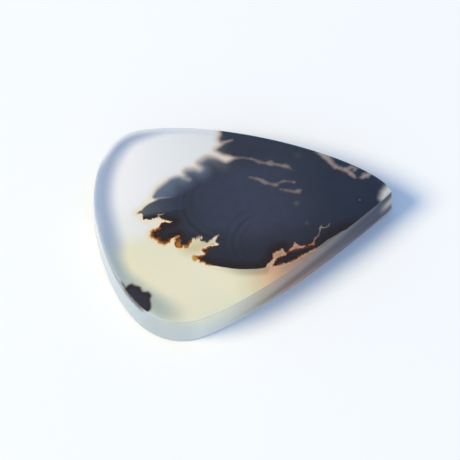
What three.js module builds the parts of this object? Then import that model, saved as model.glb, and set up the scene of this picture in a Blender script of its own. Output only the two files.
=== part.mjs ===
// A pear-shaped cabochon of dendritic agate, cut and polished from one piece of stone.
// It has a flat base, a narrow bevel, a nearly upright girdle and a low domed top.
// Millimetres. +Z is up and +X runs from the broad end to the tip.
import * as THREE from 'three';

// Driving dimensions
const LENGTH = 40; // broad end to tip
const WIDTH = 30.6; // across the broad end
const GIRDLE_AT_BROAD_END = 5.2; // height of the girdle's upper edge
const GIRDLE_AT_TIP = 4.5; // the stone thins a little towards its tip
const GIRDLE_TAPER = 0.2; // how far the upper edge stands in from the widest outline
const BASE_BEVEL = 0.25; // width and height of the bevel round the base
const DOME_RISE = 0.9; // middle of the top above the girdle's upper edge
const DOME_POWER = 5; // a higher power makes the top flatter and its shoulder tighter

// The outline touches each side of its box once. The far side is +Y and the near side is -Y
const TIP = new THREE.Vector2(LENGTH / 2, -0.8);
const FAR_SIDE = new THREE.Vector2(-11.7, WIDTH / 2);
const BROAD_END = new THREE.Vector2(-LENGTH / 2, 2.9);
const NEAR_SIDE = new THREE.Vector2(-10.3, -WIDTH / 2);

// How far each touching point pulls the curve along its own side of the box
const TIP_PULL = { far: 4.6, near: 0.5 };
const FAR_SIDE_PULL = { tip: 12.5, broadEnd: 5.7 };
const BROAD_END_PULL = { far: 4.8, near: 9 };
const NEAR_SIDE_PULL = { broadEnd: 7.2, tip: 8 };

// Facets along each quarter of the outline, and from the upper edge to the middle of the top
const FACETS = { farFlank: 44, farCorner: 22, nearCorner: 30, nearFlank: 40 };
const TOP_RINGS = 9;
const RING_CROWDING = 1.5; // crowds the rings towards the shoulder, where the top curves most
const TOP_CENTRE = new THREE.Vector2(-4, 0);

const moved = (point, dx, dy) => point.clone().add(new THREE.Vector2(dx, dy));

// One quarter of the outline as evenly spaced points, without its last point
function quarter(from, fromHandle, toHandle, to, facets) {
  const curve = new THREE.CubicBezierCurve(from, fromHandle, toHandle, to);
  return curve.getSpacedPoints(facets).slice(0, -1);
}

// The widest outline, counter-clockwise from the tip
function widestOutline() {
  return [
    ...quarter(
      TIP,
      moved(TIP, 0, TIP_PULL.far),
      moved(FAR_SIDE, FAR_SIDE_PULL.tip, 0),
      FAR_SIDE,
      FACETS.farFlank,
    ),
    ...quarter(
      FAR_SIDE,
      moved(FAR_SIDE, -FAR_SIDE_PULL.broadEnd, 0),
      moved(BROAD_END, 0, BROAD_END_PULL.far),
      BROAD_END,
      FACETS.farCorner,
    ),
    ...quarter(
      BROAD_END,
      moved(BROAD_END, 0, -BROAD_END_PULL.near),
      moved(NEAR_SIDE, -NEAR_SIDE_PULL.broadEnd, 0),
      NEAR_SIDE,
      FACETS.nearCorner,
    ),
    ...quarter(
      NEAR_SIDE,
      moved(NEAR_SIDE, NEAR_SIDE_PULL.tip, 0),
      moved(TIP, 0, -TIP_PULL.near),
      TIP,
      FACETS.nearFlank,
    ),
  ];
}

// The same outline moved inwards, square to itself
function inset(outline, distance) {
  const count = outline.length;
  return outline.map((point, i) => {
    const along = outline[(i + 1) % count].clone().sub(outline[(i + count - 1) % count]).normalize();
    return moved(point, -along.y * distance, along.x * distance);
  });
}

const girdleHeight = (x) =>
  THREE.MathUtils.mapLinear(x, -LENGTH / 2, LENGTH / 2, GIRDLE_AT_BROAD_END, GIRDLE_AT_TIP);

// Height of the domed top, where reach is 1 at its edge and 0 at its middle
const topHeight = (x, reach) => girdleHeight(x) + DOME_RISE * (1 - reach ** DOME_POWER);

// One ring of the top: the edge drawn in towards the middle
function topRing(edge, step) {
  const reach = 1 - (step / TOP_RINGS) ** RING_CROWDING;
  return edge.map((point) => {
    const drawnIn = TOP_CENTRE.clone().lerp(point, reach);
    return new THREE.Vector3(drawnIn.x, drawnIn.y, topHeight(drawnIn.x, reach));
  });
}

// A closed surface over rings of equal count, from the bottom up, capped at both ends
function skinOverRings(rings, bottomMiddle, topMiddle) {
  const count = rings[0].length;
  const points = [...rings.flat(), bottomMiddle, topMiddle];
  const bottom = points.length - 2;
  const top = points.length - 1;
  const lastRing = (rings.length - 1) * count;
  const triangles = [];
  for (let i = 0; i < count; i += 1) {
    const next = (i + 1) % count;
    triangles.push(bottom, next, i);
    for (let ring = 0; ring < lastRing; ring += count) {
      triangles.push(ring + i, ring + next, ring + count + next);
      triangles.push(ring + i, ring + count + next, ring + count + i);
    }
    triangles.push(lastRing + i, lastRing + next, top);
  }
  const geometry = new THREE.BufferGeometry().setFromPoints(points);
  geometry.setIndex(triangles);
  geometry.computeVertexNormals();
  return geometry;
}

function stoneGeometry() {
  const widest = widestOutline();
  const upperEdge = inset(widest, GIRDLE_TAPER);
  const rings = [
    inset(widest, BASE_BEVEL).map(({ x, y }) => new THREE.Vector3(x, y, 0)),
    widest.map(({ x, y }) => new THREE.Vector3(x, y, BASE_BEVEL)),
  ];
  for (let step = 0; step < TOP_RINGS; step += 1) {
    rings.push(topRing(upperEdge, step));
  }
  return skinOverRings(
    rings,
    new THREE.Vector3(TOP_CENTRE.x, TOP_CENTRE.y, 0),
    new THREE.Vector3(TOP_CENTRE.x, TOP_CENTRE.y, topHeight(TOP_CENTRE.x, 0)),
  );
}

const stone = new THREE.Mesh(
  stoneGeometry(),
  new THREE.MeshStandardMaterial({ color: 0xdcdcd4, roughness: 0.08, metalness: 0 }),
);
stone.name = 'agate';

const specimen = new THREE.Group();
specimen.add(stone);

export default specimen;
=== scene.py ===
import math

import bpy
import numpy as np
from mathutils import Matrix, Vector


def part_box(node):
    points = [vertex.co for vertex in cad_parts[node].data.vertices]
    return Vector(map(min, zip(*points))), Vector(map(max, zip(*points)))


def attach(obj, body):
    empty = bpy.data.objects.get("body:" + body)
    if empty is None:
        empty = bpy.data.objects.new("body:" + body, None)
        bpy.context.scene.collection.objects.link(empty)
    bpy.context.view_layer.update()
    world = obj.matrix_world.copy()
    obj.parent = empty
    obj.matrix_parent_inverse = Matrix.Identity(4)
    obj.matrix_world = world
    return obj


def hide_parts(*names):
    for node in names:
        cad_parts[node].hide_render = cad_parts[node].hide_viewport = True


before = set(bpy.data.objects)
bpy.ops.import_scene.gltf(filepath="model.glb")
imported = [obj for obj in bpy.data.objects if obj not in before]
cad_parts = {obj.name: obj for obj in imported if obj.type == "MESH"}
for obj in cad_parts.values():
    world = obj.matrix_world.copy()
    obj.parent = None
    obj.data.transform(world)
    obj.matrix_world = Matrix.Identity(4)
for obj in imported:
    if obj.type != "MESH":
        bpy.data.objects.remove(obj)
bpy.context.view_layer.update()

# Lengths below are millimetres, in the frame's own axes, unless a name ends in METRES.
# +X runs from the broad end to the tip, +Y is the far side, -Y the near side, +Z up.
MM = 0.001

# The stone's form, in step with its solid. A pull is how far a quarter of the outline is drawn
# along its box before it bends away.
LOWEST, HIGHEST = (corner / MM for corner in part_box("agate"))
LENGTH = HIGHEST.x - LOWEST.x
WIDTH = HIGHEST.y - LOWEST.y
GIRDLE_AT_BROAD_END = 5.2
GIRDLE_AT_TIP = 4.5
GIRDLE_TAPER = 0.2
BASE_BEVEL = 0.25
DOME_RISE = 0.9
DOME_POWER = 5
TIP = np.array([LENGTH / 2, -0.8])
FAR_SIDE = np.array([-11.7, WIDTH / 2])
BROAD_END = np.array([-LENGTH / 2, 2.9])
NEAR_SIDE = np.array([-10.3, -WIDTH / 2])
TIP_PULL_FAR, TIP_PULL_NEAR = 4.6, 0.5
FAR_SIDE_PULL_TIP, FAR_SIDE_PULL_BROAD_END = 12.5, 5.7
BROAD_END_PULL_FAR, BROAD_END_PULL_NEAR = 4.8, 9
NEAR_SIDE_PULL_BROAD_END, NEAR_SIDE_PULL_TIP = 7.2, 8
TOP_CENTRE = np.array([-4, 0])

# How finely the skin is made
SPOKES = {"far flank": 300, "far corner": 130, "near corner": 186, "near flank": 280}
SPOKE_HALVINGS = 4
TOP_RINGS = 120
BASE_RINGS = 12
WALL_RINGS = 7
CORNER_RINGS = 5
OUTLINE_STEPS = 2000
LOOP_STEPS = 5

# The soft edges, and how far past the arris's own rings the next ones lie
ARRIS_RADIUS = 0.08
FOOT_RADIUS = 0.07
CORNER_MARGIN = 0.03

# The large dendrite's edge, as stretches that follow each other from the far rim round to the near rim.
# A stretch that ends past the rim lets the marking run off the stone there.
FAR_BAYS = [
    (-0.4, 13.6), (-0.92, 12.26), (-1.32, 11.5), (-1.25, 10.95), (-0.9, 10.6), (-1.37, 10.18),
    (-2.04, 9.7), (-1.74, 9.2), (-1.25, 8.78), (-0.6, 8.5), (-0.06, 8.1), (0.1, 7.9), (-0.47, 7.6),
    (-1.15, 7.38),
]
UPPER_LOBES = [
    (-1.7, 7.7), (-2.44, 8.28), (-3.5, 8.62), (-4.4, 8.2), (-4.78, 7.9), (-4.5, 7.1), (-4.94, 6.72),
    (-5.63, 7.0), (-6.58, 7.12), (-6.98, 6.88), (-7.0, 6.22), (-7.27, 5.96), (-7.75, 6.33),
    (-8.85, 6.26), (-10.0, 5.6), (-11.0, 4.95), (-11.5, 4.4), (-11.87, 3.8), (-11.16, 3.5),
    (-12.05, 3.13),
]
LEFT_FRINGE = [
    (-12.68, 2.9), (-13.44, 2.43), (-13.57, 2.2), (-14.1, 2.06), (-14.34, 1.84), (-13.93, 1.76),
    (-13.7, 1.5), (-13.78, 1.2), (-13.62, 0.75), (-13.3, 0.7), (-12.8, 0.5), (-12.48, 0.66),
    (-12.26, 0.54), (-11.87, 0.67), (-11.43, 0.92), (-11.51, 0.6), (-11.07, 0.2), (-10.4, -0.1),
    (-9.94, -0.3), (-10.4, -0.42), (-11.43, -0.22), (-11.7, -0.6), (-12.4, -1.1), (-12.66, -1.03),
    (-13.04, -1.26), (-13.16, -1.75), (-13.02, -2.23), (-12.46, -2.7), (-12.32, -3.0), (-11.65, -3.53),
    (-11.16, -3.4), (-10.85, -3.25), (-10.7, -2.95), (-10.15, -2.76), (-9.53, -2.63), (-10.09, -3.08),
    (-10.04, -3.34), (-10.26, -3.7), (-10.15, -4.2), (-9.6, -4.4), (-9.2, -4.22), (-8.88, -4.55),
    (-8.26, -4.0),
]
LOWER_BAY = [
    (-7.97, -3.67), (-7.73, -3.48), (-7.5, -3.69), (-7.0, -3.37), (-6.69, -3.45), (-7.0, -3.83),
    (-6.4, -4.12), (-6.0, -4.31), (-5.4, -3.95), (-4.97, -3.67), (-4.3, -3.45), (-4.65, -3.8),
    (-4.93, -4.4), (-4.63, -4.8), (-4.85, -5.0), (-5.8, -5.0), (-6.2, -5.13), (-6.87, -5.27),
    (-6.82, -5.67), (-6.47, -5.85), (-6.87, -6.1), (-7.43, -6.12), (-8.0, -6.1), (-8.0, -6.5),
    (-7.6, -6.7), (-7.5, -7.09), (-7.0, -7.2), (-6.8, -7.55), (-6.27, -7.78),
]
CUT_LINE = [
    (-5.53, -8.05), (-4.6, -8.4), (-3.5, -8.78), (-2.4, -9.06), (-1.2, -9.24), (0.0, -9.33),
    (0.75, -9.28), (1.05, -8.95), (1.5, -8.57), (1.98, -8.25), (2.15, -7.75), (2.4, -7.38),
    (3.0, -7.22), (3.55, -7.02), (3.7, -7.38), (4.08, -7.68), (3.7, -7.92), (3.1, -8.03), (2.55, -8.28),
    (2.15, -8.7), (1.8, -9.2), (3.0, -9.1), (4.0, -8.95), (5.0, -8.63), (6.5, -7.97), (7.6, -7.58),
    (8.6, -7.15), (9.8, -6.45), (11.0, -5.98), (12.2, -5.45), (14.0, -5.2), (21.5, -4.5),
]
PAST_THE_RIM = [(23, 0), (21, 6), (12, 11), (4, 14)]

# The fine comb of light teeth in the large dendrite's lower left edge
COMB_TEETH_APART = 0.32
COMB_REACH = 0.3

# Half the width over which the dendrites' edge fades out, and how that changes from place to place
FRINGE_BLUR = 0.07
FINGER_BLUR = 0.11
LOBE_BLUR = 0.37
RIGHT_LOBE_BLUR = 0.24
BAY_CRISPNESS = 0.3
COMB_BLUR = 0.14
SMALL_DENDRITE_BLUR = 0.2

# The width of the stained edge, and what is added to it at three places
STAIN_WIDTH = 0.07
LEFT_END_STAIN = 0.6
LOW_END_STAIN = 0.2
NEAR_GAP_STAIN = 0.1

# How much of the fringe's moss and stain other places have, or lose
NEAR_GAP_SHARE = 0.9
LEAST_MOSS = 0.2
SMALL_DENDRITE_MOSS = 0.3
FINGERS_UNSTAINED = 0.85
COMB_UNSTAINED = 0.7

# The small dendrite at the rim of the broad end
SMALL_DENDRITE = [
    (-18.0, -8.6), (-17.5, -8.4), (-17.1, -8.25), (-16.85, -8.3), (-16.6, -8.6), (-15.95, -9.0),
    (-15.85, -9.4), (-15.65, -9.8), (-15.1, -9.9), (-14.72, -10.5), (-15.0, -11.1), (-15.02, -11.8),
    (-15.12, -12.25), (-15.5, -12.6), (-16.1, -12.6), (-17.2, -12.0), (-19.0, -10.4), (-18.9, -9.0),
]
SMALL_SPIKE = [(-18.2, -7.6, 0.02), (-18.1, -8.0, 0.1), (-17.9, -8.6, 0.08)]

# Light openings in the large dendrite. The third number of a place on a stroke is its half-width,
# and where that isn't above 0 only the stroke's soft edge shows.
NEAR_BAY = [
    (4.4, -7.45), (4.9, -6.9), (5.2, -6.6), (5.4, -6.25), (5.65, -6.6), (6.1, -6.9), (6.7, -7.0),
    (6.0, -7.2), (5.2, -7.25),
]
NEAR_STROKES = [
    [(7.2, -6.9, 0.06), (7.75, -6.85, 0.14), (7.95, -6.5, 0.08)],
    [(7.95, -6.4, 0.04), (8.2, -6.1, 0.1), (8.65, -5.8, 0.06), (8.95, -5.3, 0.05), (9.15, -4.75, 0.12),
     (9.4, -4.4, 0.06)],
    [(9.3, -4.7, 0.08), (9.8, -4.8, 0.06), (10.3, -4.6, 0.06), (10.65, -4.1, 0.02)],
]
LEFT_STROKE = [(-11.5, 1.0, 0.12), (-10.75, 1.1, 0.04)]
FAR_STROKES = [
    [(-1.2, 10.75, 0.15), (-0.6, 10.8, 0.12), (0.3, 10.98, 0.0)],
    [(-7.2, 6.1, 0.1), (-6.6, 5.65, 0.02)],
    [(-11.6, 3.6, 0.06), (-10.4, 3.5, 0.04), (-8.8, 3.4, -0.08)],
]

# Strokes of other colours in the large dendrite
BROWN_TRAIL = [(3.7, -7.6, 0.1), (4.4, -7.55, 0.1), (5.4, -7.4, 0.08), (6.6, -7.2, 0.1), (7.4, -7.1, 0.06)]
VEINS = [
    [(0.3, 7.9, 0.1), (1.2, 7.75, -0.02), (2.0, 7.5, 0.0), (2.6, 7.2, 0.0), (3.14, 6.76, 0.14),
     (3.83, 6.4, 0.04), (4.67, 6.2, 0.3), (5.5, 5.86, 0.0), (6.47, 5.44, 0.2), (6.9, 5.3, 0.12),
     (7.17, 4.8, -0.08)],
    [(1.47, 4.54, -0.05), (2.0, 4.26, 0.06), (2.7, 3.95, 0.1), (3.14, 3.5, 0.18), (3.8, 3.1, 0.04),
     (4.6, 2.75, 0.2)],
    [(4.94, 2.9, -0.05), (6.05, 3.1, 0.0), (7.2, 2.65, 0.0)],
    [(5.1, 1.9, -0.08), (6.05, 1.55, 0.0), (6.75, 1.25, 0.08), (7.5, 1.2, 0.2)],
]
RIM_VEIN = [
    [(11.5, 7.2, 0.15), (11.9, 6.95, 0.38), (12.35, 6.2, 0.38), (12.6, 5.6, 0.28), (12.9, 4.9, 0.25),
     (13.2, 4.3, 0.22), (14.0, 3.8, 0.2), (14.6, 3.5, 0.25)],
    [(14.6, 3.5, 0.2), (15.0, 2.9, 0.2), (15.35, 2.3, 0.1)],
    [(14.7, 3.6, 0.15), (15.3, 4.05, 0.1), (15.8, 3.7, 0.05), (15.6, 3.3, -0.05)],
    [(16.3, 2.0, 0.1), (16.9, 2.3, 0.32), (17.4, 2.5, 0.15)],
]
# A painted glare of light at the tip, as a stroke
TIP_GLARE_STROKE = [(18.4, -1.5, 0.1), (18.95, -0.95, 0.3), (19.55, -0.35, 0.35), (19.9, 0.0, 0.2)]

# How far the small dendrite leans along the rim from its top to its foot
SMALL_DENDRITE_LEAN = np.array([1.8, -3.1])

# Growth rings in the large dendrite: centre, radius where they show best, how far from it, and strength
GROWTH_RINGS = [((-2.5, 1.2), 5.6, 1.7, 0.5), ((1.8, -5.9), 4.6, 2.2, 0.35)]
RING_SPACING = 1.1
RING_WANDER = 0.6

# Faint light spots in the large dendrite: centre, radius and strength
FAINT_SPOTS = [((6.8, -0.6), 0.6, 0.65), ((7.5, -3.8), 0.5, 0.35), ((8.5, 7.0), 0.9, 0.2)]

# A small pit in the polish near the tip, with a painted highlight on its floor and a painted shade in the
# ring round it
PIT = (15.25, -1.45)
PIT_FLOOR_RADIUS = 0.08
PIT_RADIUS = 0.24
PIT_DEPTH = 0.06
PIT_HIGHLIGHT = 0.6
PIT_RING_RADIUS = 0.42
PIT_RING_REACH = 0.2
PIT_RING_SHADE = 0.8

# How strongly noise changes the dendrites' edges, the light veins, the dark inside and the yellow zone
COARSE_MOSS = 0.4
FINE_MOSS = 0.55
VEIN_ROUGHNESS = 0.6
VEIN_STRENGTH = 0.9
VEIN_UNEVENNESS = 0.8
INNER_MOTTLE = 0.25
YELLOW_DRIFT = 1.2

# Gold-brown patches at the edge of the large dendrite: centre, half-width, half-depth and colour,
# and the share of a patch that is at full strength.
GOLD_PATCHES = [
    ((-9.85, -3.95), 0.42, 0.65, (180, 118, 52)),
    ((-9.6, -3.4), 0.34, 0.34, (130, 92, 52)),
    ((-8.9, -4.4), 0.4, 0.36, (150, 125, 60)),
    ((-8.15, -6.35), 0.48, 0.72, (196, 146, 66)),
]
GOLD_FLAT_SHARE = 0.4

# Tints of the light stone beside the large dendrite: centre, half-width, half-depth, strength, colour
STONE_TINTS = [
    ((-7.8, -4.8), 3.0, 1.9, 0.75, (200, 186, 142)),
    ((-5.8, -4.3), 2.0, 1.5, 0.6, (186, 182, 160)),
    ((-7.1, -3.3), 1.0, 0.5, 0.8, (112, 104, 90)),
    ((-5.1, -4.95), 0.9, 0.55, 0.7, (112, 96, 78)),
    ((3.0, -7.9), 1.6, 0.9, 0.9, (176, 134, 108)),
]

# Display colours, 0 to 255, as they show on the lit top
LOW_MILK = (224, 227, 226)
# The next two are the painted shade of the band inside the rim
RIM_SHADE_BLUE = (154, 170, 195)
RIM_SHADE_GREEN = (170, 181, 178)
BEIGE = (216, 201, 188)
CREAM = (228, 217, 190)
OPENING_PINK = (164, 139, 123)
OPENING_GREY = (146, 140, 134)
FAR_OPENING = (204, 184, 170)
TRAIL_BROWN = (104, 66, 48)
BLACK_BROWN = (49, 43, 46)
NEAR_INNER = (53, 53, 64)
FAR_INNER = (54, 58, 70)
RING_DARK = (46, 51, 64)
TEAL = (42, 62, 76)
VEIN_BEIGE = (148, 133, 128)
FAINT_GREY = (100, 98, 103)
RIM_VEIN_BEIGE = (164, 149, 140)
# Painted shade at the broad end's own edge
OUTER_SHADE_BLUE = (129, 162, 195)
SMALL_INNER = (54, 56, 68)
SMALL_EDGE = (58, 48, 46)
# A painted glare of light at the tip
TIP_GLARE = (214, 208, 203)

# Display colours of the girdle and the underside, as base colours
FAR_GIRDLE = (178, 190, 204)
# A painted glow of light coming through the near foot
FOOT_GLOW = (255, 246, 230)
# Painted light coming through the girdle at the tip
TIP_GIRDLE_GLOW = (216, 198, 178)
DARK_GIRDLE = (60, 62, 74)
UNDERSIDE_LIGHT = (205, 208, 205)
UNDERSIDE_DARK = (60, 60, 66)

# Colours by place along the stone, of which the girdle's are base colours
MILK_TONES = [(-14, (232, 233, 236)), (-9, (228, 231, 233)), (-3, (223, 226, 227))]
YELLOW_TONES = [
    (-18, (219, 217, 193)), (-14, (223, 221, 198)), (-8, (229, 226, 203)), (-4, (233, 229, 202)),
    (-2, (228, 221, 189)), (0, (222, 200, 166)), (2, (212, 172, 142)),
]
NEAR_RIM_TONES = [
    (-1.5, (226, 216, 184)), (0.5, (226, 196, 160)), (2, (214, 174, 142)), (3.3, (188, 158, 134)),
    (6.4, (156, 138, 124)), (9.4, (122, 121, 118)),
]
INNER_TONES = [
    (-12, (47, 49, 55)), (-9.5, (56, 57, 66)), (-7.5, (60, 64, 77)), (-5, (63, 69, 85)),
    (0, (67, 73, 91)), (5, (64, 70, 87)), (9, (56, 62, 77)), (12, (50, 57, 74)), (18, (47, 55, 74)),
]
FINGER_TONES = [
    (-14, (102, 104, 104)), (-12.7, (88, 94, 100)), (-11, (72, 80, 93)), (-9, (60, 67, 83)),
    (-7, (64, 71, 87)),
]
# Besides the stone seen through, the girdle's tones hold painted light where light comes through the near
# side, and painted shade under the dendrite towards the tip
GIRDLE_TONES = [
    (-20, (166, 181, 198)), (-15, (170, 184, 191)), (-12, (202, 208, 206)), (-9, (235, 237, 225)),
    (-5, (236, 232, 210)), (0.5, (208, 187, 158)), (3.5, (188, 158, 140)), (6.5, (167, 145, 131)),
    (12, (121, 117, 120)), (15, (102, 98, 104)), (20, (78, 78, 86)),
]

# Colours by depth inside the large dendrite, in the pale far lobes
LOBE_TONES = [
    (0, (108, 121, 138)), (0.4, (102, 115, 134)), (0.9, (94, 105, 123)), (1.5, (84, 93, 110)),
    (2.2, (73, 80, 96)), (3.5, (63, 70, 86)),
]

# Colours across the dendrite's stained edge, by depth as a share of the stain's width
RUST_TONES = [
    (-1.2, (240, 228, 200)), (-0.35, (222, 188, 134)), (0, (174, 116, 58)), (0.35, (130, 76, 32)),
    (0.8, (82, 50, 24)), (1.4, (50, 42, 40)),
]
RED_BROWN_TONES = [
    (-1.2, (204, 174, 148)), (-0.35, (180, 140, 114)), (0, (140, 92, 68)), (0.35, (104, 60, 42)),
    (0.8, (70, 44, 36)), (1.4, (49, 42, 44)),
]

# What a shade multiplies a colour by where it is full, and the full share of a colour laid over another.
# The outer, left band, under-arris and streak shades are painted shade, and the foot glow is painted
# light.
OUTER_SHADE = 0.82
OUTER_SHADE_BLUE_SHARE = 0.3
BELOW_CUT_SHADE = 0.66
CREAM_SHARE = 0.75
LEFT_BAND_SHADE = 0.42
FAR_GIRDLE_SHADE = 0.72
UNDER_ARRIS_SHADE = 0.82
STREAK_SHADE = 0.66
FOOT_GLOW_SHARE = 0.8

# Tints, as what they multiply red, green and blue by
BROWN_HAZE = (1.08, 0.86, 0.7)
# Painted light coming through the near girdle: yellow high up and warm low down
YELLOW_LIGHT = (1.05, 1.0, 0.84)
WARM_LIGHT = (1.22, 1.0, 0.8)

# The painted dark streak of shade along the near girdle, by height as a share of the girdle's
STREAK_MIDDLE_HEIGHT = 0.27
STREAK_CLIMB = 0.028

# The polished stone as a material
AGATE_IOR = 1.54
AGATE_SPECULAR = 0.3
SUBSURFACE_SHARE = 0.8
SUBSURFACE_REACH = 2.5
SUBSURFACE_BY_COLOUR = (1.0, 0.95, 0.85)
SMOOTHEST_POLISH = 0.05
ROUGHEST_POLISH = 0.12
WAVE_HEIGHT = 0.01
BUMP_STRENGTH = 0.3

# The view and the light
CAMERA_TARGET = Vector((-2.07, 0.26, 0.0)) * MM
CAMERA_DISTANCE_METRES = 0.4043
CAMERA_ELEVATION = math.radians(60)
CAMERA_TURN = math.radians(11.3)
CLIP_START_METRES = 0.01
PIXELS_ACROSS = 460
PIXELS_PER_RADIAN = 3000
SENSOR_WIDTH_MM = 36
KEY_SHADOW = (0.98, 0.2)  # where the shadow falls, to the picture's right and away
KEY_ELEVATION = math.radians(40)
KEY_DISTANCE_METRES = 2.0
KEY_SIZE_METRES = 1.0
KEY_WATTS = 43.0
KEY_COLOUR = (1.0, 0.846, 0.539)
SKY_COLOUR = (0.345, 0.49, 0.75, 1.0)
FLOOR_TONE = 0.92
FLOOR_ROUGHNESS = 0.9
FLOOR_HALF_METRES = 3.0

# What the stone's lit top adds by reflection, how much of its base colour it sends back,
# and the least base colour.
TOP_SHEEN = (0.0096, 0.0136, 0.0207)
TOP_LIGHT = (0.97, 1.0, 1.03)
DARKEST_BASE = 0.001


def unit(vectors):
    return vectors / np.linalg.norm(vectors, axis=-1, keepdims=True)


def outline_quarter(start, start_handle, end_handle, end, spokes):
    """Evenly spaced points of one quarter of the outline, without its last point."""
    t = np.linspace(0, 1, OUTLINE_STEPS + 1)[:, None]
    curve = (
        (1 - t) ** 3 * start
        + 3 * (1 - t) ** 2 * t * start_handle
        + 3 * (1 - t) * t**2 * end_handle
        + t**3 * end
    )
    walked = np.concatenate([[0], np.cumsum(np.linalg.norm(np.diff(curve, axis=0), axis=1))])
    even = np.linspace(0, walked[-1], spokes, endpoint=False)
    return np.column_stack([np.interp(even, walked, curve[:, axis]) for axis in range(2)])


def widest_outline():
    """The outline counter-clockwise from the tip, touching each side of its box once."""
    return np.vstack([
        outline_quarter(
            TIP, TIP + (0, TIP_PULL_FAR), FAR_SIDE + (FAR_SIDE_PULL_TIP, 0), FAR_SIDE,
            SPOKES["far flank"],
        ),
        outline_quarter(
            FAR_SIDE, FAR_SIDE - (FAR_SIDE_PULL_BROAD_END, 0), BROAD_END + (0, BROAD_END_PULL_FAR),
            BROAD_END, SPOKES["far corner"],
        ),
        outline_quarter(
            BROAD_END, BROAD_END - (0, BROAD_END_PULL_NEAR), NEAR_SIDE - (NEAR_SIDE_PULL_BROAD_END, 0),
            NEAR_SIDE, SPOKES["near corner"],
        ),
        outline_quarter(
            NEAR_SIDE, NEAR_SIDE + (NEAR_SIDE_PULL_TIP, 0), TIP - (0, TIP_PULL_NEAR), TIP,
            SPOKES["near flank"],
        ),
    ])


def inset(outline, distance):
    """The outline moved inwards, square to itself."""
    along = unit(np.roll(outline, -1, axis=0) - np.roll(outline, 1, axis=0))
    return outline + distance * np.column_stack([-along[:, 1], along[:, 0]])


def girdle_height(x):
    return GIRDLE_AT_BROAD_END + (GIRDLE_AT_TIP - GIRDLE_AT_BROAD_END) * (x / LENGTH + 0.5)


def raised(outline, height):
    """A flat outline as a ring of points at one height, or at a height for each point."""
    return np.column_stack([outline, np.broadcast_to(height, len(outline))])


def top_ring(edge, reach):
    """The top's edge drawn in to a share of its reach from the middle, lying on the dome."""
    drawn_in = TOP_CENTRE + (edge - TOP_CENTRE) * reach
    return raised(drawn_in, girdle_height(drawn_in[:, 0]) + DOME_RISE * (1 - reach**DOME_POWER))


def base_ring(edge, reach):
    return raised(TOP_CENTRE + (edge - TOP_CENTRE) * reach, 0)


def soft_corner(before, corner, after, radius):
    """Rings that turn a sharp corner between two faces into a soft one."""
    start = corner + unit(before - corner) * radius
    end = corner + unit(after - corner) * radius
    return [
        (1 - t) ** 2 * start + 2 * t * (1 - t) * corner + t**2 * end
        for t in np.linspace(0, 1, CORNER_RINGS)
    ]


def between(first, last, count):
    """Rings evenly spaced between two rings, without those two."""
    return [first + (last - first) * t for t in np.linspace(0, 1, count + 2)[1:-1]]


def thinned(ring, reach):
    """The ring with half its spokes left out each time its reach from the middle halves."""
    halvings = min(SPOKE_HALVINGS, int(math.log(1 / reach, 2)))
    return ring[:: 2**halvings]


def stone_rings():
    """Rings from the middle of the base, up the girdle and in to the middle of the top.

    The top leaves out its outermost step, which is too near the arris's own rings.
    """
    widest = widest_outline()
    foot_edge = inset(widest, BASE_BEVEL)
    top_edge = inset(widest, GIRDLE_TAPER)
    foot = raised(foot_edge, 0)
    belly = raised(widest, BASE_BEVEL)
    arris = raised(top_edge, girdle_height(top_edge[:, 0]))
    base_steps = np.linspace(1, 0, BASE_RINGS + 1)[1:-1]
    top_steps = np.linspace(1, 0, TOP_RINGS + 1)[2:-1]
    first_base = base_ring(foot_edge, base_steps[0])
    first_top = top_ring(top_edge, top_steps[0])
    foot_corner = soft_corner(first_base, foot, belly, FOOT_RADIUS)
    belly_corner = soft_corner(foot, belly, arris, FOOT_RADIUS)
    arris_corner = soft_corner(belly, arris, first_top, ARRIS_RADIUS)
    base = [thinned(base_ring(foot_edge, reach), reach) for reach in base_steps[::-1]]
    below_arris = arris_corner[0] + unit(belly - arris) * CORNER_MARGIN
    beyond_arris = arris_corner[-1] + unit(first_top - arris) * CORNER_MARGIN
    wall = belly_corner + between(belly_corner[-1], below_arris, WALL_RINGS)
    wall += [below_arris] + arris_corner + [beyond_arris]
    top = [thinned(top_ring(top_edge, reach), reach) for reach in top_steps]
    return base + foot_corner + wall + top


def strip_faces(lower, lower_start, upper, upper_start):
    """Faces between two rings, where one may have twice the spokes of the other."""
    faces = []
    if len(lower) == len(upper):
        count = len(lower)
        for i in range(count):
            j = (i + 1) % count
            faces.append((lower_start + i, lower_start + j, upper_start + j, upper_start + i))
        return faces
    fine_is_lower = len(lower) > len(upper)
    fine, fine_start = (lower, lower_start) if fine_is_lower else (upper, upper_start)
    coarse, coarse_start = (upper, upper_start) if fine_is_lower else (lower, lower_start)
    for i in range(len(coarse)):
        left, right = coarse_start + i, coarse_start + (i + 1) % len(coarse)
        first, middle = fine_start + 2 * i, fine_start + 2 * i + 1
        last = fine_start + (2 * i + 2) % len(fine)
        fan = [(first, middle, left), (middle, right, left), (middle, last, right)]
        faces.extend(fan if fine_is_lower else [face[::-1] for face in fan])
    return faces


def smooth_loop(points):
    """A closed curve through the points, bent smoothly at each."""
    points = np.array(points, float)
    before, after, second = (np.roll(points, shift, axis=0) for shift in (1, -1, -2))
    t = np.linspace(0, 1, LOOP_STEPS, endpoint=False)[:, None, None]
    curve = 0.5 * (
        2 * points
        + (after - before) * t
        + (2 * before - 5 * points + 4 * after - second) * t**2
        + (3 * points - before - 3 * after + second) * t**3
    )
    return curve.transpose(1, 0, 2).reshape(-1, 2)


def depth_inside(places, loop):
    """Distance from each place to a closed curve, positive inside it."""
    nearest = np.full(len(places), np.inf)
    inside = np.zeros(len(places), bool)
    x, y = places.T
    for start, end in zip(loop, np.roll(loop, -1, axis=0)):
        along = end - start
        share = np.clip((places - start) @ along / (along @ along), 0, 1)
        nearest = np.minimum(nearest, np.linalg.norm(places - start - share[:, None] * along, axis=1))
        crosses = (start[1] > y) != (end[1] > y)
        if start[1] != end[1]:
            inside ^= crosses & (x < start[0] + (y - start[1]) * along[0] / along[1])
    return np.where(inside, nearest, -nearest)


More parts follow.
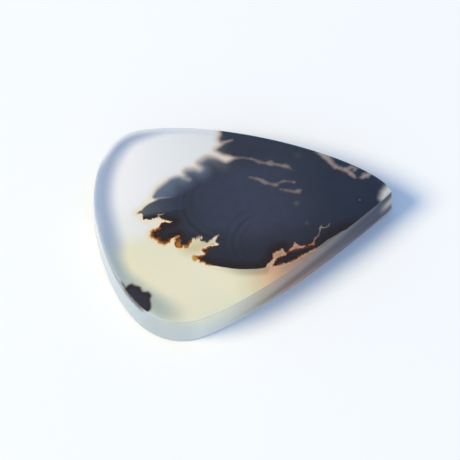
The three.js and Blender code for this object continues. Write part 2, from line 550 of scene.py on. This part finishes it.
def depth_in_stroke(places, stroke):
    """The same for a line whose half-width is the third number of each of its points."""
    stroke = np.array(stroke, float)
    deepest = np.full(len(places), -np.inf)
    for start, end in zip(stroke[:-1], stroke[1:]):
        along = (end - start)[:2]
        share = np.clip((places - start[:2]) @ along / (along @ along), 0, 1)
        distance = np.linalg.norm(places - start[:2] - share[:, None] * along, axis=1)
        deepest = np.maximum(deepest, start[2] + (end[2] - start[2]) * share - distance)
    return deepest


def depth_in_strokes(places, strokes):
    return np.max([depth_in_stroke(places, stroke) for stroke in strokes], axis=0)


def smooth_step(values, low, high):
    share = np.clip((values - low) / (high - low), 0, 1)
    return share**2 * (3 - 2 * share)


def comb_teeth(x, y):
    """How far the comb's light teeth cut into the large dendrite."""
    along = smooth_step(x, -8.1, -7.8) * (1 - smooth_step(x, -6.7, -6.4))
    down = smooth_step(y, -3.9, -3.5) * (1 - smooth_step(y, -3.3, -2.6))
    teeth = 0.5 + 0.5 * np.sin(2 * np.pi * x / COMB_TEETH_APART)
    return COMB_REACH * along * down * teeth


def edge_blur(x, y):
    """Half the width over which the large dendrite fades out: crisp in the fringe, soft in the lobes."""
    fingers = smooth_step(y, 0.8, 2.4)
    lobes = smooth_step(y, 3.4, 5.4)
    right_lobes = smooth_step(x, -8.0, -6.4)
    bays = smooth_step(x, -3.2, -1.8)
    lobe_blur = LOBE_BLUR + RIGHT_LOBE_BLUR * right_lobes - BAY_CRISPNESS * bays
    return FRINGE_BLUR + FINGER_BLUR * fingers + lobes * lobe_blur


def rust_width(x, y):
    """Width of the stained edge, which is widest at the fringe's left end."""
    left_end = smooth_step(-x, 11.0, 12.4) * smooth_step(-y, 0.6, 1.2)
    low_end = smooth_step(-x, 5.0, 6.5) * smooth_step(-y, 2.2, 3.0)
    near_gap = smooth_step(x, 1.0, 3.0) * smooth_step(-y, 4.4, 5.4)
    return (
        STAIN_WIDTH
        + LEFT_END_STAIN * left_end
        + LOW_END_STAIN * low_end * (1 - left_end)
        + NEAR_GAP_STAIN * near_gap
    )


def marking_fields(places, height):
    """What the stone's material needs to know at each place seen from above, by name."""
    x, y = places.T
    large_edge = FAR_BAYS + UPPER_LOBES + LEFT_FRINGE + LOWER_BAY + CUT_LINE + PAST_THE_RIM
    large = depth_inside(places, smooth_loop(large_edge)) - comb_teeth(x, y)
    near_bay = depth_inside(places, smooth_loop(NEAR_BAY))
    strokes = NEAR_STROKES + [LEFT_STROKE] + FAR_STROKES
    opening = np.maximum(near_bay, depth_in_strokes(places, strokes))
    small_loop = smooth_loop(SMALL_DENDRITE)
    small = np.maximum(depth_inside(places, small_loop), depth_in_stroke(places, SMALL_SPIKE))
    leaning = depth_inside(places + (1 - height)[:, None] * SMALL_DENDRITE_LEAN, small_loop)
    at_small = smooth_step(-x, 13.4, 14.4) * smooth_step(-y, 6.4, 7.2)
    at_cut = smooth_step(x, -6.6, -5.8) * smooth_step(-y, 7.2, 7.8)
    fringe = (1 - smooth_step(y, 1.6, 3.2)) * smooth_step(-x, 3.0, 5.0) * (1 - at_cut)
    near_gap = smooth_step(x, 0.4, 1.6) * (1 - smooth_step(x, 7.6, 8.6)) * smooth_step(-y, 4.4, 5.4)
    comb = smooth_step(x, -8.4, -7.8) * (1 - smooth_step(x, -4.4, -4.0)) * smooth_step(y, -4.7, -4.2)
    fingers = smooth_step(y, 0.2, 0.9)
    fringe_stain = fringe * (1 - FINGERS_UNSTAINED * fingers) * (1 - COMB_UNSTAINED * comb)
    least_moss = LEAST_MOSS + SMALL_DENDRITE_MOSS * at_small
    below_cut = smooth_step(x, -8.0, -0.5) * smooth_step(-y, 7.2, 7.8) * (1 - smooth_step(x, 0.5, 2.5))
    return {
        "dark": np.maximum(np.minimum(large, -opening), small),
        "large": large,
        "small": small,
        "at_small": at_small,
        "leaning": np.minimum(small, leaning),
        "opening": opening,
        "blur": edge_blur(x, y) + SMALL_DENDRITE_BLUR * at_small + COMB_BLUR * comb * fringe,
        "moss": np.max([fringe * (1 - at_small), NEAR_GAP_SHARE * near_gap, least_moss], axis=0),
        "rusty": (1 - at_small) * np.maximum(fringe_stain, NEAR_GAP_SHARE * near_gap),
        "rust_width": rust_width(x, y),
        "lobes": smooth_step(y, 3.0, 3.9) * (1 - smooth_step(x, -3.4, 0.4)),
        "below_cut": below_cut,
        "vein": depth_in_strokes(places, VEINS),
        "rim_vein": depth_in_strokes(places, RIM_VEIN),
        "tip_glare": smooth_step(depth_in_stroke(places, TIP_GLARE_STROKE), -0.9, 0.4),
        "trail": smooth_step(depth_in_stroke(places, BROWN_TRAIL), -0.15, 0.1),
        "edge": depth_inside(places, inset(widest_outline(), GIRDLE_TAPER)),
        "height": height,
    }


def add_object(name, data):
    added = bpy.data.objects.new(name, data)
    bpy.context.scene.collection.objects.link(added)
    return added


def build_stone():
    rings = stone_rings()
    starts = np.cumsum([0] + [len(ring) for ring in rings])
    base_middle, top_middle = starts[-1], starts[-1] + 1
    top_height = girdle_height(TOP_CENTRE[0]) + DOME_RISE
    points = np.vstack(rings + [[[*TOP_CENTRE, 0]], [[*TOP_CENTRE, top_height]]])
    faces = []
    for k in range(len(rings) - 1):
        faces += strip_faces(rings[k], starts[k], rings[k + 1], starts[k + 1])
    base_spokes, top_spokes = len(rings[0]), len(rings[-1])
    faces += [(base_middle, (i + 1) % base_spokes, i) for i in range(base_spokes)]
    faces += [(starts[-2] + i, starts[-2] + (i + 1) % top_spokes, top_middle) for i in range(top_spokes)]
    mesh = bpy.data.meshes.new("agate_stone")
    mesh.from_pydata((points * MM).tolist(), [], faces)
    mesh.update()
    mesh.shade_smooth()
    places = points[:, :2]
    height = points[:, 2] / girdle_height(points[:, 0])
    for name, values in marking_fields(places, height).items():
        field = mesh.attributes.new(name, "FLOAT", "POINT")
        field.data.foreach_set("value", values.astype(np.float32))
    return add_object("agate_stone", mesh)


def linear(display_colour):
    """A display colour, 0 to 255, as the light values that shaders use."""
    return tuple(
        (c / 255 / 12.92 if c / 255 <= 0.04045 else ((c / 255 + 0.055) / 1.055) ** 2.4)
        for c in display_colour
    )


def on_top(display_colour):
    """The base colour that shows as a display colour on the stone's lit top."""
    return tuple(
        max((shown - sheen) / share, DARKEST_BASE)
        for shown, sheen, share in zip(linear(display_colour), TOP_SHEEN, TOP_LIGHT)
    )


class ShaderGraph:
    """Short ways to add nodes to a material."""

    def __init__(self, name):
        self.material = bpy.data.materials.new(name)
        self.material.use_nodes = True
        self.tree = self.material.node_tree
        self.shader = self.tree.nodes["Principled BSDF"]

    def put(self, value, socket):
        if isinstance(value, bpy.types.NodeSocket):
            self.tree.links.new(value, socket)
        elif isinstance(value, tuple):
            socket.default_value = (*value, 1.0) if len(socket.default_value) == 4 else value
        else:
            socket.default_value = value

    def field(self, name):
        node = self.tree.nodes.new("ShaderNodeAttribute")
        node.attribute_name = name
        return node.outputs["Fac"]

    def position(self):
        """The place on the stone in millimetres."""
        place = self.tree.nodes.new("ShaderNodeTexCoord")
        return self.scale(place.outputs["Object"], 1 / MM)

    def facing(self):
        """How far the surface faces up, from -1 to 1, in the stone's own frame."""
        place = self.tree.nodes.new("ShaderNodeTexCoord")
        return self.split(place.outputs["Normal"])[2]

    def split(self, vector):
        node = self.tree.nodes.new("ShaderNodeSeparateXYZ")
        self.put(vector, node.inputs[0])
        return tuple(node.outputs)

    def math(self, operation, first, second=0.0):
        node = self.tree.nodes.new("ShaderNodeMath")
        node.operation = operation
        self.put(first, node.inputs[0])
        self.put(second, node.inputs[1])
        return node.outputs[0]

    def product(self, *factors):
        result = factors[0]
        for factor in factors[1:]:
            result = self.math("MULTIPLY", result, factor)
        return result

    def ramp(self, value, low, high, low_result, high_result):
        """Goes smoothly from one result to the other as the value goes from low to high."""
        node = self.tree.nodes.new("ShaderNodeMapRange")
        node.interpolation_type = "SMOOTHSTEP"
        for socket, number in zip(node.inputs, (value, low, high, low_result, high_result)):
            self.put(number, socket)
        return node.outputs[0]

    def rise(self, value, low, high):
        """0 up to the low value and 1 from the high one, smooth between them."""
        return self.ramp(value, low, high, 0.0, 1.0)

    def fall(self, value, low, high):
        """1 up to the low value and 0 from the high one, smooth between them."""
        return self.ramp(value, low, high, 1.0, 0.0)

    def hump(self, value, centre, reach):
        """1 where the value is at the centre, falling to 0 on both sides at the reach."""
        away = self.math("ABSOLUTE", self.math("SUBTRACT", value, centre))
        return self.fall(self.math("DIVIDE", away, reach), 0.0, 1.0)

    def noise(self, place, scale, detail=3.0, offset=0.0):
        """Noise about zero, of features roughly 1 / scale across."""
        node = self.tree.nodes.new("ShaderNodeTexNoise")
        node.noise_dimensions = "4D"
        self.put(place, node.inputs["Vector"])
        node.inputs["W"].default_value = offset
        node.inputs["Scale"].default_value = scale
        node.inputs["Detail"].default_value = detail
        return self.math("SUBTRACT", node.outputs[0], 0.5)

    def tones(self, value, stops, as_base=on_top):
        """A colour that runs through stops, each a value and a display colour."""
        lowest, highest = stops[0][0], stops[-1][0]
        node = self.tree.nodes.new("ShaderNodeValToRGB")
        elements = node.color_ramp.elements
        for at, _ in stops[1:-1]:
            elements.new((at - lowest) / (highest - lowest))
        for element, (_, colour) in zip(elements, stops):
            element.color = (*as_base(colour), 1.0)
        share = self.math("DIVIDE", self.math("SUBTRACT", value, lowest), highest - lowest)
        self.put(share, node.inputs["Fac"])
        return node.outputs["Color"]

    def scale(self, colour, factor):
        node = self.tree.nodes.new("ShaderNodeVectorMath")
        node.operation = "SCALE"
        self.put(colour, node.inputs["Vector"])
        self.put(factor, node.inputs["Scale"])
        return node.outputs["Vector"]

    def dimmed(self, colour, share, factor):
        """The colour, multiplied by the factor where the share is 1 and unchanged where it is 0."""
        return self.scale(colour, self.ramp(share, 0.0, 1.0, 1.0, factor))

    def tint(self, colour, factors):
        """The colour with its red, green and blue multiplied."""
        node = self.tree.nodes.new("ShaderNodeVectorMath")
        node.operation = "MULTIPLY"
        self.put(colour, node.inputs[0])
        self.put(factors, node.inputs[1])
        return node.outputs["Vector"]

    def mix(self, share, first, second):
        node = self.tree.nodes.new("ShaderNodeMix")
        node.data_type = "RGBA"
        self.put(share, node.inputs["Factor"])
        self.put(first, node.inputs["A"])
        self.put(second, node.inputs["B"])
        return node.outputs["Result"]


def offset_from(g, place, centre):
    """How far a place is from a point along X and along Y."""
    x, y, _ = g.split(place)
    return g.math("SUBTRACT", x, centre[0]), g.math("SUBTRACT", y, centre[1])


def length_of(g, dx, dy):
    return g.math("SQRT", g.math("ADD", g.product(dx, dx), g.product(dy, dy)))


def distance_from(g, place, centre):
    """Distance from a point, seen from above."""
    return length_of(g, *offset_from(g, place, centre))


def patch(g, place, centre, half_width, half_depth, flat_share=0.0):
    """1 round a point seen from above, falling to 0 at an oval round it."""
    dx, dy = offset_from(g, place, centre)
    reach = length_of(g, g.math("DIVIDE", dx, half_width), g.math("DIVIDE", dy, half_depth))
    return g.fall(reach, flat_share, 1.0)


def milk_and_yellow(g, place):
    """The light stone within its rim: milky on the far side and yellow on the near side."""
    x, y, _ = g.split(place)
    far_share = g.rise(y, -0.5, 5.5)
    milk = g.mix(far_share, on_top(LOW_MILK), g.tones(x, MILK_TONES))
    drift = g.product(g.noise(place, 0.2, detail=2.0), YELLOW_DRIFT)
    yellowness = g.rise(g.math("ADD", g.product(y, -1.0), drift), 0.2, 3.9)
    colour = g.mix(yellowness, milk, g.tones(x, YELLOW_TONES))
    near_rim = g.product(g.rise(x, -1.5, 0.5), g.fall(y, -3.0, -2.0))
    return g.mix(near_rim, colour, g.tones(x, NEAR_RIM_TONES))


def rim_shade_band(g, x, y):
    """How strongly the painted blue-grey band of shade shows, which is widest round the broad end."""
    edge = g.field("edge")
    width = g.ramp(x, -15.0, -7.0, 3.6, 1.6)
    narrowed_at_left = g.ramp(g.hump(y, -5.5, 4.5), 0.0, 1.0, 1.0, 0.72)
    widened_at_near_corner = g.ramp(y, -12.0, -9.0, 1.35, 1.0)
    width = g.product(width, narrowed_at_left, widened_at_near_corner)
    inward = g.fall(g.math("DIVIDE", edge, width), 0.3, 1.0)
    at_rim = g.ramp(y, 9.5, 12.5, 0.9, 0.4)
    outward = g.ramp(edge, 0.1, 1.2, at_rim, 1.0)
    far = g.product(g.ramp(x, -15.0, -4.0, 1.0, 0.2), g.rise(y, -4.0, 4.0))
    near = g.product(g.fall(x, -14.5, -9.5), g.fall(y, -4.0, 4.0))
    return g.product(inward, outward, g.math("ADD", far, near))


def with_rim_shades(g, place, colour):
    """The colour with painted shade: a blue-grey band inside the rim, and darker and bluer at the broad
    end's own edge, on the lamp side.
    """
    x, y, _ = g.split(place)
    far_share = g.rise(y, -7.0, 1.0)
    rim_shade_colour = g.mix(far_share, on_top(RIM_SHADE_GREEN), on_top(RIM_SHADE_BLUE))
    colour = g.mix(rim_shade_band(g, x, y), colour, rim_shade_colour)
    lamp_side_shade = g.product(g.fall(g.field("edge"), 0.0, 1.5), g.fall(x, -18.3, -16.5))
    lamp_side_shade = g.product(lamp_side_shade, g.ramp(y, -2.5, 2.5, 1.0, 0.4))
    colour = g.dimmed(colour, lamp_side_shade, OUTER_SHADE)
    return g.mix(g.ramp(lamp_side_shade, 0.0, 1.0, 0.0, OUTER_SHADE_BLUE_SHARE), colour, on_top(OUTER_SHADE_BLUE))


def with_dendrite_shades(g, place, colour):
    """The colour with what the large dendrite does to the light stone beside it."""
    x, y, _ = g.split(place)
    large = g.field("large")
    below_cut = g.product(g.rise(large, -1.6, -0.1), g.field("below_cut"))
    colour = g.dimmed(colour, below_cut, BELOW_CUT_SHADE)
    less_at_left = g.ramp(x, -9.5, -5.5, 0.3, 1.0)
    halo = g.product(g.rise(large, -1.1, -0.15), g.rise(y, 4.5, 7.0), less_at_left)
    colour = g.mix(halo, colour, on_top(BEIGE))
    beside_fringe = g.product(g.fall(x, -10.5, -8.5), g.rise(y, -4.0, -3.0))
    creamy = g.product(g.rise(large, -1.1, -0.1), beside_fringe, CREAM_SHARE)
    colour = g.mix(creamy, colour, on_top(CREAM))
    for centre, half_width, half_depth, strength, tint in STONE_TINTS:
        tinted = g.product(patch(g, place, centre, half_width, half_depth), strength)
        colour = g.mix(tinted, colour, on_top(tint))
    return colour


def opening_colour(g, place):
    """The light stone in the large dendrite's openings: pink, greyer to the tip, pale at the far side."""
    x, y, _ = g.split(place)
    tip_share = g.rise(x, 7.6, 8.4)
    far_share = g.rise(y, 1.5, 3.0)
    near_colour = g.mix(tip_share, on_top(OPENING_PINK), on_top(OPENING_GREY))
    return g.mix(far_share, near_colour, on_top(FAR_OPENING))


def chalcedony_colour(g, place):
    """The light stone, all that isn't dendrite."""
    colour = with_rim_shades(g, place, milk_and_yellow(g, place))
    colour = with_dendrite_shades(g, place, colour)
    in_opening = g.rise(g.field("opening"), -0.3, 0.0)
    return g.mix(in_opening, colour, opening_colour(g, place))


def growth_rings(g, place, centre, radius, reach):
    """Darker arcs about a centre, which show near one radius and on the broad side only."""
    wander = g.product(g.noise(place, 0.4, detail=2.0, offset=centre[0]), RING_WANDER)
    past = g.math("SUBTRACT", g.math("ADD", distance_from(g, place, centre), wander), radius)
    wave = g.math("COSINE", g.product(past, 2 * math.pi / RING_SPACING))
    across, _ = offset_from(g, place, centre)
    broad_side = g.fall(across, -2.6, -0.4)
    return g.product(g.rise(wave, -0.4, 1.0), g.hump(past, 0.0, reach), broad_side)


def inner_colour(g, place):
    """The large dendrite's inside, bluest in the middle, with faint growth rings."""
    x, y, _ = g.split(place)
    colour = g.tones(x, INNER_TONES)
    near_share = g.ramp(y, -7.0, -2.0, 0.9, 0.0)
    colour = g.mix(near_share, colour, on_top(NEAR_INNER))
    far_share = g.ramp(y, 4.5, 9.0, 0.0, 0.7)
    colour = g.mix(far_share, colour, on_top(FAR_INNER))
    mottle = g.math("ADD", 1.0, g.product(g.noise(place, 0.9, detail=4.0, offset=3.0), INNER_MOTTLE))
    colour = g.scale(colour, mottle)
    for centre, radius, reach, share in GROWTH_RINGS:
        rings = g.product(growth_rings(g, place, centre, radius, reach), share)
        colour = g.mix(rings, colour, on_top(RING_DARK))
    return colour


def lobe_haze(g, place):
    """Pale haze that thins out with depth, more slowly and bluer to the left."""
    x, _, _ = g.split(place)
    depth = g.product(g.field("large"), g.ramp(x, -9.5, -6.5, 0.65, 1.5))
    haze = g.tones(depth, LOBE_TONES)
    right_share = g.rise(x, -5.0, -1.0)
    return g.mix(right_share, haze, g.tint(haze, BROWN_HAZE)), depth


def brown_edge(g, x, y):
    """How black-brown the large dendrite is, along its left and near edges and least in their middle."""
    along_edge = g.product(g.fall(g.field("large"), 0.2, 1.7), g.fall(y, -0.2, 1.0))
    middle = g.product(g.hump(x, -5.2, 4.8), g.rise(y, -7.2, -5.6))
    return g.product(along_edge, g.ramp(middle, 0.0, 0.7, 1.0, 0.2))


def large_dendrite_colour(g, place):
    """The large dendrite's own shades, hazy in its far lobes and teal along the far rim."""
    x, y, _ = g.split(place)
    colour = inner_colour(g, place)
    colour = g.mix(brown_edge(g, x, y), colour, on_top(BLACK_BROWN))
    finger = g.product(g.fall(x, -9.0, -7.0), g.rise(y, 0.9, 1.7))
    colour = g.mix(finger, colour, g.tones(x, FINGER_TONES))
    haze, haze_depth = lobe_haze(g, place)
    hazy = g.product(g.field("lobes"), g.fall(haze_depth, 2.4, 3.5))
    colour = g.mix(hazy, colour, haze)
    far_rim = g.product(g.ramp(g.field("edge"), 0.1, 1.0, 0.8, 0.0), g.rise(y, 3.0, 5.0))
    return g.mix(far_rim, colour, on_top(TEAL))


def ragged(g, place, depth, low, high):
    """How strongly a light vein shows, by its depth roughened with noise."""
    roughness = g.product(g.noise(place, 2.2, offset=7.0), VEIN_ROUGHNESS)
    unevenness = g.product(g.noise(place, 1.3, offset=19.0), VEIN_UNEVENNESS)
    strength = g.math("ADD", VEIN_STRENGTH, unevenness)
    return g.product(g.rise(g.math("ADD", depth, roughness), low, high), strength)


def with_light_marks(g, place, colour):
    """The colour with the large dendrite's faint spots, veins, brown trail and a painted glare of light at
    the tip.
    """
    for centre, radius, share in FAINT_SPOTS:
        faint = g.product(patch(g, place, centre, radius, radius), share)
        colour = g.mix(faint, colour, on_top(FAINT_GREY))
    in_vein = ragged(g, place, g.field("vein"), -0.36, 0.28)
    colour = g.mix(in_vein, colour, on_top(VEIN_BEIGE))
    in_rim_vein = ragged(g, place, g.field("rim_vein"), -0.42, 0.24)
    colour = g.mix(in_rim_vein, colour, on_top(RIM_VEIN_BEIGE))
    colour = g.mix(g.field("trail"), colour, on_top(TRAIL_BROWN))
    return g.mix(g.field("tip_glare"), colour, on_top(TIP_GLARE))


def with_pit(g, place, colour):
    """The colour with a painted highlight on the pit's floor and a painted shade in the ring round it."""
    from_pit = distance_from(g, place, PIT)
    pit_highlight = g.ramp(from_pit, PIT_FLOOR_RADIUS, PIT_RADIUS, PIT_HIGHLIGHT, 0.0)
    colour = g.mix(pit_highlight, colour, on_top(FAINT_GREY))
    return g.dimmed(colour, g.hump(from_pit, PIT_RING_RADIUS, PIT_RING_REACH), PIT_RING_SHADE)


def small_dendrite_colour(g):
    """Near black, and browner at its edge."""
    inside = g.rise(g.field("small"), 0.2, 0.7)
    return g.mix(inside, on_top(SMALL_EDGE), on_top(SMALL_INNER))


def dendrite_colour(g, place):
    colour = with_light_marks(g, place, large_dendrite_colour(g, place))
    colour = with_pit(g, place, colour)
    return g.mix(g.field("at_small"), colour, small_dendrite_colour(g))


def stained_edge(g, place, depth, stone, dark):
    """Cream, orange-brown and dark brown in turn as the dendrite's edge is crossed, redder to the tip."""
    x, _, _ = g.split(place)
    unevenness = g.ramp(g.noise(place, 1.6, detail=2.0, offset=13.0), -0.18, 0.18, 0.35, 1.6)
    share = g.math("DIVIDE", depth, g.product(g.field("rust_width"), unevenness))
    redness = g.rise(x, -3.0, 1.0)
    stain = g.mix(redness, g.tones(share, RUST_TONES), g.tones(share, RED_BROWN_TONES))
    outside_to_stain = g.rise(depth, -0.32, -0.04)
    stain_to_dark = g.rise(share, 0.7, 1.5)
    return g.mix(stain_to_dark, g.mix(outside_to_stain, stone, stain), dark)


def mossy_depth(g, place):
    """Depth inside the dendrites, roughened at the edge where they branch."""
    coarse = g.product(g.noise(place, 1.9), COARSE_MOSS)
    fine = g.product(g.noise(place, 5.0, offset=5.0), FINE_MOSS)
    moss = g.product(g.math("ADD", coarse, fine), g.field("moss"))
    return g.math("ADD", g.field("dark"), moss)


def with_gold(g, place, colour):
    """The colour with patchy golden grains at the large dendrite's edge."""
    patchiness = g.ramp(g.noise(place, 2.6, offset=17.0), -0.25, 0.0, 0.7, 1.0)
    for centre, half_width, half_depth, gold in GOLD_PATCHES:
        in_patch = patch(g, place, centre, half_width, half_depth, GOLD_FLAT_SHARE)
        colour = g.mix(g.product(in_patch, patchiness), colour, on_top(gold))
    return colour


def top_colour(g, place):
    """The stone seen through its dome."""
    depth = mossy_depth(g, place)
    stone = chalcedony_colour(g, place)
    dark = dendrite_colour(g, place)
    covered = g.rise(g.math("DIVIDE", depth, g.field("blur")), -1.0, 0.75)
    faded = g.mix(covered, stone, dark)
    colour = g.mix(g.field("rusty"), faded, stained_edge(g, place, depth, stone, dark))
    return with_gold(g, place, colour)


def girdle_streak_shading(g, x, height, near):
    """How light the girdle is by height: a painted dark streak of shade towards the tip and a painted
    light foot below it.
    """
    streak_height = g.math("ADD", STREAK_MIDDLE_HEIGHT, g.product(x, STREAK_CLIMB))
    streak = g.product(g.hump(height, streak_height, 0.34), g.rise(x, -9.0, 8.0), near)
    foot = g.product(g.fall(height, 0.05, 0.32), g.rise(x, -13.0, -5.0), near)
    foot_light_gain = g.ramp(x, 8.0, 18.0, 1.45, 2.0)
    return g.product(g.ramp(streak, 0.0, 1.0, 1.0, STREAK_SHADE), g.ramp(foot, 0.0, 1.0, 1.0, foot_light_gain))


def behind_girdle(g, x, y):
    """The tones behind the girdle: by place along the near side, with painted light coming through and
    painted shade under the dendrite in them, and blue-grey to dark on the far side.
    """
    colour = g.tones(x, GIRDLE_TONES, linear)
    far_share = g.rise(y, -2.0, 4.0)
    colour = g.mix(far_share, colour, linear(FAR_GIRDLE))
    far_dark = g.product(g.rise(g.field("large"), -4.5, 2.0), g.rise(y, 1.0, 3.0))
    return g.mix(far_dark, colour, linear(DARK_GIRDLE))


def with_painted_girdle_shade(g, x, y, near, colour):
    """The colour with painted shade at the left, in the streaks and under the arris, and darker on the far
    side.
    """
    height = g.field("height")
    at_left = g.product(g.fall(x, -18.9, -16.5), g.fall(y, 1.0, 8.0))
    left_band_shade = g.product(g.rise(height, 0.66, 0.97), at_left)
    colour = g.dimmed(colour, left_band_shade, LEFT_BAND_SHADE)
    colour = g.scale(colour, girdle_streak_shading(g, x, height, near))
    colour = g.scale(colour, g.ramp(y, 3.5, 6.5, 1.0, FAR_GIRDLE_SHADE))
    middle = g.product(g.rise(x, -15.0, -12.0), g.fall(x, 6.0, 9.0))
    under_arris_shade = g.product(g.rise(height, 0.9, 1.0), middle)
    return g.dimmed(colour, under_arris_shade, UNDER_ARRIS_SHADE)


def with_painted_girdle_light(g, x, near, colour):
    """The colour with painted light where light comes through the near wall, at its foot and at the tip.
    """
    height = g.field("height")
    yellow = g.product(g.rise(height, 0.55, 0.9), near, g.hump(x, -10.0, 8.0))
    colour = g.mix(yellow, colour, g.tint(colour, YELLOW_LIGHT))
    warm = g.product(g.fall(height, 0.2, 0.5), near, g.rise(x, 1.0, 5.0))
    colour = g.mix(warm, colour, g.tint(colour, WARM_LIGHT))
    glow = g.product(g.fall(height, 0.04, 0.11), g.hump(x, -1.5, 9.0), near, FOOT_GLOW_SHARE)
    colour = g.mix(glow, colour, linear(FOOT_GLOW))
    at_tip = g.product(g.rise(x, 17.6, 19.4), g.hump(height, 0.5, 0.34))
    return g.mix(at_tip, colour, linear(TIP_GIRDLE_GLOW))


def girdle_colour(g, place):
    """The stone seen through its side, with painted light and shade, and the small dendrite running a
    little way down it.
    """
    x, y, _ = g.split(place)
    near = g.fall(y, -1.0, 3.0)
    colour = with_painted_girdle_shade(g, x, y, near, behind_girdle(g, x, y))
    colour = with_painted_girdle_light(g, x, near, colour)
    left_of_small = g.fall(x, -16.6, -15.6)
    high_up = g.rise(g.field("height"), 0.72, 0.98)
    smear = g.product(g.rise(g.field("leaning"), -0.25, 0.2), high_up, left_of_small)
    return g.mix(smear, colour, linear(DARK_GIRDLE))


def underside_colour(g):
    """Pale, with the large dendrite's dark showing faintly."""
    dark_share = g.rise(g.field("large"), -1.5, 2.5)
    return g.mix(dark_share, linear(UNDERSIDE_LIGHT), linear(UNDERSIDE_DARK))


def polish_normal(g, place):
    """The polish's faint waviness, and one small pit near the tip."""
    in_pit = g.fall(distance_from(g, place, PIT), PIT_FLOOR_RADIUS, PIT_RADIUS)
    waves = g.noise(place, 0.5, detail=2.0, offset=11.0)
    node = g.tree.nodes.new("ShaderNodeBump")
    node.inputs["Strength"].default_value = BUMP_STRENGTH
    node.inputs["Distance"].default_value = WAVE_HEIGHT * MM
    height = g.math("ADD", waves, g.product(in_pit, -PIT_DEPTH / WAVE_HEIGHT))
    g.put(height, node.inputs["Height"])
    return node.outputs["Normal"]


def agate_material():
    g = ShaderGraph("dendritic_agate")
    place = g.position()
    facing = g.facing()
    on_dome = g.rise(facing, 0.35, 0.85)
    on_base = g.fall(facing, -0.97, -0.8)
    colour = g.mix(on_dome, girdle_colour(g, place), top_colour(g, place))
    g.put(g.mix(on_base, colour, underside_colour(g)), g.shader.inputs["Base Color"])
    unevenness = g.noise(place, 0.6, offset=9.0)
    roughness = g.ramp(unevenness, -0.4, 0.4, SMOOTHEST_POLISH, ROUGHEST_POLISH)
    g.put(roughness, g.shader.inputs["Roughness"])
    g.put(polish_normal(g, place), g.shader.inputs["Normal"])
    g.shader.inputs["IOR"].default_value = AGATE_IOR
    g.shader.inputs["Specular IOR Level"].default_value = AGATE_SPECULAR
    g.shader.inputs["Subsurface Weight"].default_value = SUBSURFACE_SHARE
    g.shader.inputs["Subsurface Scale"].default_value = SUBSURFACE_REACH * MM
    g.shader.inputs["Subsurface Radius"].default_value = SUBSURFACE_BY_COLOUR
    return g.material


def floor_material():
    g = ShaderGraph("pale_floor")
    g.shader.inputs["Base Color"].default_value = (FLOOR_TONE, FLOOR_TONE, FLOOR_TONE, 1.0)
    g.shader.inputs["Roughness"].default_value = FLOOR_ROUGHNESS
    g.shader.inputs["Specular IOR Level"].default_value = 0.0
    return g.material


def build_floor():
    half = FLOOR_HALF_METRES
    mesh = bpy.data.meshes.new("floor")
    corners = [(-half, -half, 0), (half, -half, 0), (half, half, 0), (-half, half, 0)]
    mesh.from_pydata(corners, [], [(0, 1, 2, 3)])
    mesh.materials.append(floor_material())
    floor = add_object("floor", mesh)


def image_axes():
    """The picture's right and away directions, as they lie on the floor."""
    right = Vector((math.cos(CAMERA_TURN), -math.sin(CAMERA_TURN), 0))
    away = Vector((math.sin(CAMERA_TURN), math.cos(CAMERA_TURN), 0))
    return right, away


def add_camera():
    _, away = image_axes()
    looking = away * math.cos(CAMERA_ELEVATION) - Vector((0, 0, math.sin(CAMERA_ELEVATION)))
    camera = add_object("camera", bpy.data.cameras.new("camera"))
    camera.data.sensor_width = SENSOR_WIDTH_MM
    camera.data.lens = SENSOR_WIDTH_MM * PIXELS_PER_RADIAN / PIXELS_ACROSS
    camera.data.clip_start = CLIP_START_METRES
    camera.location = CAMERA_TARGET - looking * CAMERA_DISTANCE_METRES
    camera.rotation_euler = looking.to_track_quat("-Z", "Y").to_euler()
    bpy.context.scene.camera = camera


def add_key_light():
    """A broad warm lamp to the left and a little in front, which throws the soft shadow."""
    right, away = image_axes()
    level = -(right * KEY_SHADOW[0] + away * KEY_SHADOW[1]).normalized()
    toward = level * math.cos(KEY_ELEVATION) + Vector((0, 0, math.sin(KEY_ELEVATION)))
    lamp = bpy.data.lights.new("key", "AREA")
    lamp.shape = "DISK"
    lamp.size = KEY_SIZE_METRES
    lamp.energy = KEY_WATTS
    lamp.color = KEY_COLOUR
    light = add_object("key", lamp)
    light.location = toward * KEY_DISTANCE_METRES
    light.rotation_euler = toward.to_track_quat("Z", "Y").to_euler()


def add_sky():
    world = bpy.data.worlds.new("soft_room")
    world.use_nodes = True
    background = world.node_tree.nodes["Background"]
    background.inputs["Color"].default_value = SKY_COLOUR
    background.inputs["Strength"].default_value = 1.0
    bpy.context.scene.world = world


bpy.context.scene.view_settings.view_transform = "Standard"
add_camera()
add_key_light()
add_sky()
build_floor()

stone = build_stone()
stone.data.materials.append(agate_material())
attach(stone, "root")
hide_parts("agate")
